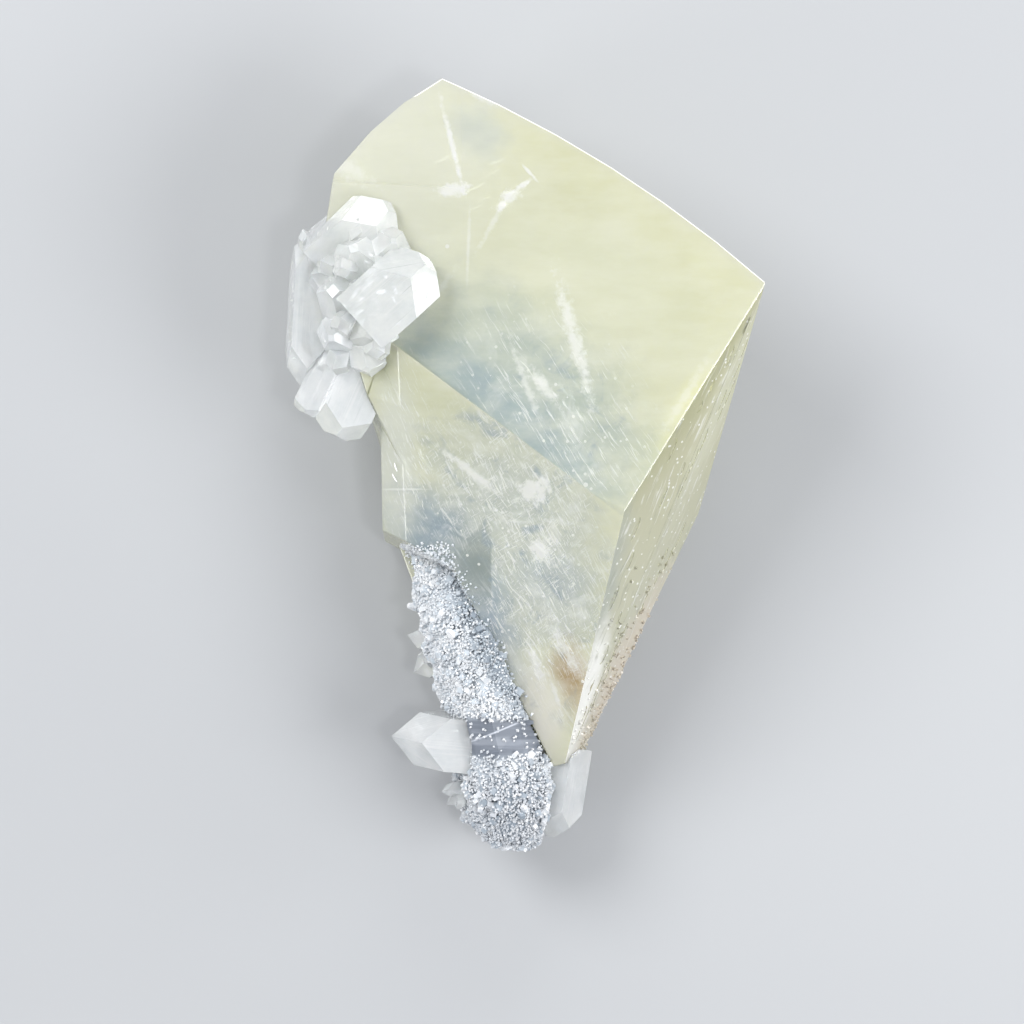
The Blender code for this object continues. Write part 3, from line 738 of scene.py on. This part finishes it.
def crust(name, surface, grain, per_mm2, sizes, tilt, seed, cover):
    """Grows copies of a small crystal over a surface. Cover says how thickly, from 0 to 1, at a place."""
    mesh = surface.data.copy()
    crust_piece = bpy.data.objects.new(name, mesh)
    bpy.context.scene.collection.objects.link(crust_piece)
    share = mesh.attributes.new("cover", "FLOAT", "POINT")
    normals = [v.normal.copy() for v in mesh.vertices]
    for vertex in mesh.vertices:
        share.data[vertex.index].value = cover(vertex.co / MM, normals[vertex.index])
    nodes = bpy.data.node_groups.new(name, "GeometryNodeTree")
    nodes.interface.new_socket("Surface", in_out="INPUT", socket_type="NodeSocketGeometry")
    nodes.interface.new_socket("Crust", in_out="OUTPUT", socket_type="NodeSocketGeometry")
    surface_in = nodes.nodes.new("NodeGroupInput").outputs[0]
    covered = put(nodes, "GeometryNodeInputNamedAttribute", {"Name": "cover"}, data_type="FLOAT")
    density = times(nodes, covered.outputs["Attribute"], per_mm2 / MM**2)
    scatter = {"Mesh": surface_in, "Density": density, "Seed": seed}
    spread = put(nodes, "GeometryNodeDistributePointsOnFaces", scatter)
    lean = put(nodes, "FunctionNodeRandomValue", {"Seed": seed + 1}, data_type="FLOAT_VECTOR")
    lean.inputs[0].default_value = (-tilt, -tilt, -math.pi)
    lean.inputs[1].default_value = (tilt, tilt, math.pi)
    turned = put(
        nodes,
        "FunctionNodeRotateRotation",
        {"Rotation": spread.outputs["Rotation"], "Rotate By": lean.outputs[0]},
        rotation_space="LOCAL",
    )
    size = put(nodes, "FunctionNodeRandomValue", {"Seed": seed + 2}, data_type="FLOAT")
    size.inputs[2].default_value = sizes[0]
    size.inputs[3].default_value = sizes[1]
    shape = put(nodes, "GeometryNodeObjectInfo", {"Object": grain})
    grown = put(
        nodes,
        "GeometryNodeInstanceOnPoints",
        {
            "Points": spread.outputs["Points"],
            "Instance": shape.outputs["Geometry"],
            "Rotation": turned.outputs["Rotation"],
            "Scale": size.outputs[1],
        },
    )
    real = put(nodes, "GeometryNodeRealizeInstances", {0: grown.outputs[0]})
    nodes.links.new(real.outputs[0], nodes.nodes.new("NodeGroupOutput").inputs[0])
    only(crust_piece)
    modifier = crust_piece.modifiers.new("crust", "NODES")
    modifier.node_group = nodes
    bpy.ops.object.modifier_apply(modifier="crust")
    crust_piece.data.materials.clear()
    return crust_piece


# The stem is bluer on its knob, and bluer and darker along its right-hand side, which is painted shade down
# in the groove against the calcite. Middle, half size, turn, hue, strength
STEM_SHADES = (
    ((-6.0, -27.0, 16), (13.0, 2.4, 20), -63.6, srgb(166, 180, 191), 0.7),
    ((-1.5, -53.0, 14), (8.0, 7.0, 20), 0, srgb(198, 203, 210), 0.6),
)

druse, tree, shader = finish_material("druse", Roughness=0.2, Transmission_Weight=0.3, IOR=1.5)
place = object_place(tree)
blot = ramp(tree, noise_of(tree, place, 170.0, 4.0, 0.6), 0.40, 0.60)
colour = blend(tree, blot, srgb(222, 227, 232), srgb(247, 249, 251))
wander = wandering(tree, place)
# The first row paints shade along the right-hand side, the second tints the knob
for centre, reach, turn, hue, strength in STEM_SHADES:
    mask = zone(tree, place, wander, centre, reach, turn, 0.6, 1.0)
    colour = blend(tree, times(tree, mask, strength), colour, hue)
fleck = ramp(tree, noise_of(tree, place, 1400.0, 2.0), 0.52, 0.66)
colour = blend(tree, times(tree, fleck, 0.85), colour, srgb(253, 254, 255))
tree.links.new(colour, shader.inputs["Base Color"])

stem_body, tree, shader = finish_material("stem_body", Roughness=0.5, Transmission_Weight=0.1, IOR=1.5)
place = object_place(tree)
bands = stretched(tree, place, (60, 900, 60), (0, 0, math.radians(-18)))
bands = ramp(tree, noise_of(tree, bands, 1.0, 3.0, 0.6), 0.42, 0.62)
colour = blend(tree, bands, srgb(102, 109, 120), srgb(130, 136, 146))
wander = wandering(tree, place)
bare = zone(tree, place, wander, (-4.0, -42.1, 15), (14.0, 3.6, 24), 0, 0.35, 0.6)
covered = srgb(187, 195, 202)
# Under the same zones the covered part is painted darker: painted shade along the right-hand side, and a
# darker knob
for centre, reach, turn, _, _ in STEM_SHADES:
    mask = zone(tree, place, wander, centre, reach, turn, 0.6, 1.0)
    covered = blend(tree, times(tree, mask, 0.85), covered, srgb(124, 135, 146))
colour = blend(tree, bare, covered, colour)
vein = zone(tree, place, wander, (-4.6, -41.2, 15), (5.0, 0.12, 20), 22, 0.8, 0.5)
colour = blend(tree, times(tree, vein, 0.6), colour, srgb(226, 231, 240))
tree.links.new(colour, shader.inputs["Base Color"])

stem_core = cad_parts["drusy_stem"]
stem_core.data.materials.clear()
stem_core.data.materials.append(stem_body)

# The calcite's lower left edge, which the druse creeps over: a point on it and the way out from it, in plan
CREPT_EDGE = ((-11.0, -15.6), (-0.896, -0.444))


def stem_cover(place, normal):
    """Full all over, apart from the smooth collar."""
    return COLLAR_COVER if COLLAR[0] < place.y < COLLAR[1] else 1.0


def creep_cover(place, normal):
    """The druse on the calcite: thick on the wall beside the stem, and thinning out over the front's edge."""
    (x, y), (out_x, out_y) = CREPT_EDGE
    out = (place.x - x) * out_x + (place.y - y) * out_y
    if place.y > -12.0 or place.y < -40.0 or place.z < 6.0 or place.x > 12:
        return 0.0
    near = max(0.0, min(1.0, (out + 2.4) / 2.8))
    return near**3 * min(1.0, (place.y + 40.0) / 8.0) if out < 6 else 0.0


def sugar_cover(place, normal):
    """Tiny crystals on the right-hand side, most of them low down by the pointed end."""
    if normal.x < 0.35 or place.y > 8.0 or place.z < 3.0:
        return 0.0
    return 0.8 * max(0.0, min(1.0, (-12.0 - place.y) / 24.0)) * (1.0 if place.z < 15 else 0.25)


grain = unit_grain("grain", 4, 0.58, 0.85)
stem_surface = even_surface("drusy_stem", "stem_surface")
calcite_surface = even_surface("calcite_crystal", "calcite_surface")
for name, surface, per_mm2, sizes, tilt, seed, cover, finish in (
    ("stem_crust", stem_surface, 6.0, (0.36, 0.72), 0.4, 3, stem_cover, druse),
    ("stem_crystals", stem_surface, 0.12, (0.9, 1.7), 0.8, 8, stem_cover, druse),
    ("edge_crust", calcite_surface, 7.0, (0.25, 0.6), 0.6, 5, creep_cover, druse),
    ("side_crust", calcite_surface, 2.2, (0.25, 0.7), 0.6, 12, sugar_cover, calcite_side),
):
    piece = crust(name, surface, grain, per_mm2, sizes, tilt, seed, cover)
    piece.data.materials.append(finish)
    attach(piece, "root")
bpy.data.objects.remove(stem_surface)
bpy.data.objects.remove(calcite_surface)


# The apophyllite. Clear to whitish square prisms with four-sided points, striped finely along their length: a
# group grown on the calcite's left edge, and single ones on the stem. Each is cut from a block, face by face.

CALCITE_GAP = 0.12


def prism(name, tip, axis, width, length, roll=0.0, steep=52.0, blunt=0.0, ends=1):
    """A square prism with a point over its edges at one end or both, and a map along it for its stripes."""
    bpy.ops.mesh.primitive_cube_add(size=1.0)
    piece = bpy.context.object
    piece.name = name
    stretch = Matrix.Diagonal((*point(width, width, length), 1))
    piece.data.transform(Matrix.Translation(point(0, 0, -length / 2)) @ stretch)
    only(piece)
    bpy.ops.object.mode_set(mode="EDIT")
    planes = []
    angle = math.radians(steep)
    for end, sign in ((0, 1), (-length, -1))[:ends]:
        for x, y in ((1, 1), (-1, 1), (-1, -1), (1, -1)):
            side = Vector((x, y, 0)).normalized() * math.sin(angle)
            planes.append((end, (side.x, side.y, sign * math.cos(angle))))
    if blunt:
        planes.append((-blunt, (0, 0, 1)))
    for height, normal in planes:
        bpy.ops.mesh.select_all(action="SELECT")
        bpy.ops.mesh.bisect(
            plane_co=point(0, 0, height),
            plane_no=normal,
            use_fill=True,
            clear_outer=True,
            threshold=1e-8,
        )
    bpy.ops.mesh.select_all(action="SELECT")
    bpy.ops.mesh.normals_make_consistent(inside=False)
    bpy.ops.object.mode_set(mode="OBJECT")
    along = piece.data.uv_layers.new(name="along")
    for face in piece.data.polygons:
        level = Vector((-face.normal.y, face.normal.x, 0))
        level = level.normalized() if level.length > 0.05 else Vector((1, 0, 0))
        for corner in face.loop_indices:
            spot = piece.data.vertices[piece.data.loops[corner].vertex_index].co
            along.data[corner].uv = (spot.dot(level) + width * MM, spot.z)
    turn = Vector(axis).to_track_quat("Z", "Y").to_matrix().to_4x4()
    spin = Matrix.Rotation(math.radians(roll), 4, "Z")
    piece.data.transform(Matrix.Translation(point(*tip)) @ turn @ spin)
    return piece


def combine(base, other, operation):
    """Joins other to base, or cuts it out of base, and removes other."""
    only(base)
    modifier = base.modifiers.new(operation, "BOOLEAN")
    modifier.operation = operation
    modifier.object = other
    bpy.ops.object.modifier_apply(modifier=operation)
    bpy.data.objects.remove(other)


def grown_together(name, crystals):
    """Prisms that grow through each other, joined, and cut back to where the calcite begins."""
    whole = None
    for settings in crystals:
        one = prism(name, **settings)
        if whole is None:
            whole = one
        else:
            combine(whole, one, "UNION")
    seat = solid_of("calcite_crystal", "seat")
    gap = seat.modifiers.new("gap", "DISPLACE")
    gap.strength = CALCITE_GAP * MM
    gap.mid_level = 0.0
    only(seat)
    bpy.ops.object.modifier_apply(modifier="gap")
    combine(whole, seat, "DIFFERENCE")
    return whole


GROUP = (
    # the tall striped prism at the left, pointed at both ends
    dict(tip=(-33.0, 37.4, 24.5), axis=(0.06, 1.0, 0.03), width=5.4, length=25.4, roll=12, steep=60, ends=2),
    dict(tip=(-31.0, 34.6, 20.0), axis=(0.03, 1.0, -0.05), width=7.0, length=20.0, roll=30, steep=50, ends=2),
    # the two long prisms that point down and to the left
    dict(tip=(-34.3, 7.9, 24), axis=(-0.44, -0.9, 0.04), width=4.6, length=20, roll=6, steep=30, blunt=0.5),
    dict(tip=(-30, 3.8, 26.4), axis=(-0.4, -0.91, 0.08), width=7.8, length=19, roll=-10, steep=42, blunt=1.2),
    # the two at the top, and the broad one in front of the calcite
    dict(tip=(-20, 40.6, 34), axis=(0.72, 0.56, 0.4), width=8.4, length=15, roll=18, steep=48, blunt=1.2),
    dict(tip=(-27.6, 38.8, 31), axis=(-0.3, 0.88, 0.36), width=7.6, length=15, roll=20, steep=50, blunt=0.8),
    dict(tip=(-14, 32.2, 36.4), axis=(0.72, 0.62, 0.3), width=10.4, length=14.5, roll=4, steep=44, blunt=1.4),
    # the short ones between them, which look outward
    dict(tip=(-26.4, 33.6, 38.2), axis=(-0.20, 0.34, 0.92),
         width=7.8, length=16.0, roll=30, steep=50, blunt=0.8),
    dict(tip=(-29.8, 27, 37), axis=(-0.35, 0.1, 0.93), width=7.6, length=18, roll=14, steep=52, blunt=1),
    dict(tip=(-23.6, 26.6, 38.8), axis=(0.05, 0.02, 1), width=7, length=16, roll=40, steep=50, blunt=0.6),
    dict(tip=(-30, 19.6, 34), axis=(-0.35, -0.25, 0.9), width=6.4, length=15, roll=12, steep=50, blunt=0.6),
    dict(tip=(-24, 20, 36.4), axis=(-0.05, -0.3, 0.95), width=6.6, length=14, roll=33, steep=48, blunt=0.6),
    dict(tip=(-24.4, 14.6, 33.4), axis=(-0.10, -0.62, 0.78),
         width=5.6, length=13.0, roll=20, steep=46, blunt=0.5),
    dict(tip=(-20, 34.6, 37.4), axis=(0.3, 0.2, 0.93), width=5.8, length=12, roll=10, steep=50, blunt=0.5),
    # small ones
    dict(tip=(-34.4, 36.9, 26.6), axis=(-0.28, 0.94, 0.15), width=2.2, length=7.0, roll=20),
    dict(tip=(-33.0, 29.6, 32.6), axis=(-0.60, 0.20, 0.77), width=4.2, length=9.0, roll=35),
    # thin ones that stand between the big ones
    dict(tip=(-26.6, 29.8, 38.6), axis=(0.25, -0.20, 0.95), width=2.8, length=8.0, roll=22),
    dict(tip=(-28.2, 22.8, 37.2), axis=(-0.10, 0.25, 0.95), width=3.0, length=9.0, roll=40),
    dict(tip=(-21.4, 30.6, 38.6), axis=(0.30, -0.10, 0.95), width=2.6, length=8.0, roll=8),
    dict(tip=(-31.4, 31.6, 34.6), axis=(-0.45, 0.30, 0.84), width=3.0, length=8.0, roll=12),
    dict(tip=(-25.6, 38.0, 36.2), axis=(0.10, 0.60, 0.78), width=3.2, length=8.0, roll=31),
    dict(tip=(-21.6, 17.4, 36.6), axis=(0.35, -0.30, 0.90), width=3.0, length=8.0, roll=17),
    dict(tip=(-19.4, 23.6, 38.2), axis=(0.30, 0.10, 0.95), width=3.4, length=9.0, roll=44),
    dict(tip=(-29.6, 15.0, 32.6), axis=(-0.30, -0.45, 0.84), width=3.4, length=9.0, roll=28),
)
WING = (
    dict(tip=(-21.0, -42.0, 16.5), axis=(-0.97, 0.10, 0.22), width=8.4, length=12.5, roll=-6, steep=54),
)
FOOT = (
    dict(tip=(3.7, -58.6, 12.5), axis=(-0.16, -0.98, 0.05),
         width=6.6, length=15.0, roll=30, steep=46, blunt=0.6),
    dict(tip=(8.8, -48.0, 12.6), axis=(0.80, 0.40, 0.40), width=4.6, length=8.0, roll=10, steep=46),
)
BUDS = (
    dict(tip=(-18.6, -26.2, 13.0), axis=(-0.96, 0.22, 0.10), width=4.4, length=8.5, roll=40),
    dict(tip=(-17.6, -32.2, 11.0), axis=(-0.86, -0.45, 0.10), width=4.0, length=8.0, roll=15),
    dict(tip=(-16.9, -29.4, 14.2), axis=(-0.90, 0.05, 0.40), width=2.8, length=7.0, roll=30),
)
SPRAY = (
    dict(tip=(-12.4, -53.0, 12.6), axis=(-0.80, -0.60, 0.05), width=2.4, length=5.5, roll=30, steep=58),
    dict(tip=(-13.2, -50.9, 13.6), axis=(-0.97, -0.20, 0.15), width=2.0, length=5.5, roll=10, steep=58),
    dict(tip=(-10.8, -53.6, 14.6), axis=(-0.55, -0.75, 0.35), width=1.9, length=5.5, roll=45, steep=58),
)

apophyllite, tree, shader = finish_material("apophyllite", Roughness=0.04, Transmission_Weight=0.66, IOR=1.53)
haze = ramp(tree, noise_of(tree, object_place(tree), 260.0, 5.0, 0.6), 0.35, 0.65)
colour = blend(tree, haze, srgb(238, 242, 243), srgb(254, 255, 255))
along = put(tree, "ShaderNodeUVMap", uv_map="along").outputs["UV"]
stripes = noise_of(tree, stretched(tree, along, (2600.0, 70.0, 1.0)), 1.0, 3.0, 0.6)
colour = blend(tree, times(tree, ramp(tree, stripes, 0.56, 0.68), 0.7), colour, srgb(255, 255, 255))
colour = blend(tree, times(tree, ramp(tree, stripes, 0.36, 0.26), 0.45), colour, srgb(176, 182, 184))
tree.links.new(colour, shader.inputs["Base Color"])
relieve(tree, shader, stripes, 0.35, 0.00012)

for node, name, crystals in (
    ("apophyllite_cluster", "clear_group", GROUP),
    ("apophyllite_point", "clear_wing", WING),
    ("apophyllite_foot", "clear_foot", FOOT),
    ("apophyllite_buds", "clear_buds", BUDS),
    ("apophyllite_sprig", "clear_spray", SPRAY),
):
    piece = grown_together(name, crystals)
    piece.data.materials.clear()
    piece.data.materials.append(apophyllite)
    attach(piece, "root")
    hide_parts(node)

# White flaws inside them: small flat flakes near their surfaces, which sparkle. The thin crystals have none
FLAWED_FROM = 4
places = []
for crystals, count in ((GROUP, 13), (WING, 14), (FOOT, 16), (BUDS, 4)):
    for settings in crystals:
        if settings["width"] < FLAWED_FROM:
            continue
        turn = Vector(settings["axis"]).to_track_quat("Z", "Y").to_matrix().to_4x4()
        for _ in range(count):
            wide = settings["width"] * 0.40
            across_x = picks.uniform(-wide, wide)
            across_y = picks.uniform(-wide, wide)
            down = picks.uniform(0.28, 0.85) * settings["length"]
            lean = Matrix.Rotation(picks.uniform(-1.2, 1.2), 4, "X")
            lean = lean @ Matrix.Rotation(picks.uniform(0, 3.1), 4, "Z")
            size = Matrix.Scale(picks.uniform(0.3, 1.0), 4)
            home = Matrix.Translation(point(*settings["tip"])) @ turn
            places.append(home @ Matrix.Translation(point(across_x, across_y, -down)) @ lean @ size)
flaws = joined("clear_flaws", flake(2.0, 0.9, 0.1), places)
flaws.data.materials.append(crack_white)
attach(flaws, "root")

bpy.data.objects.remove(grain)
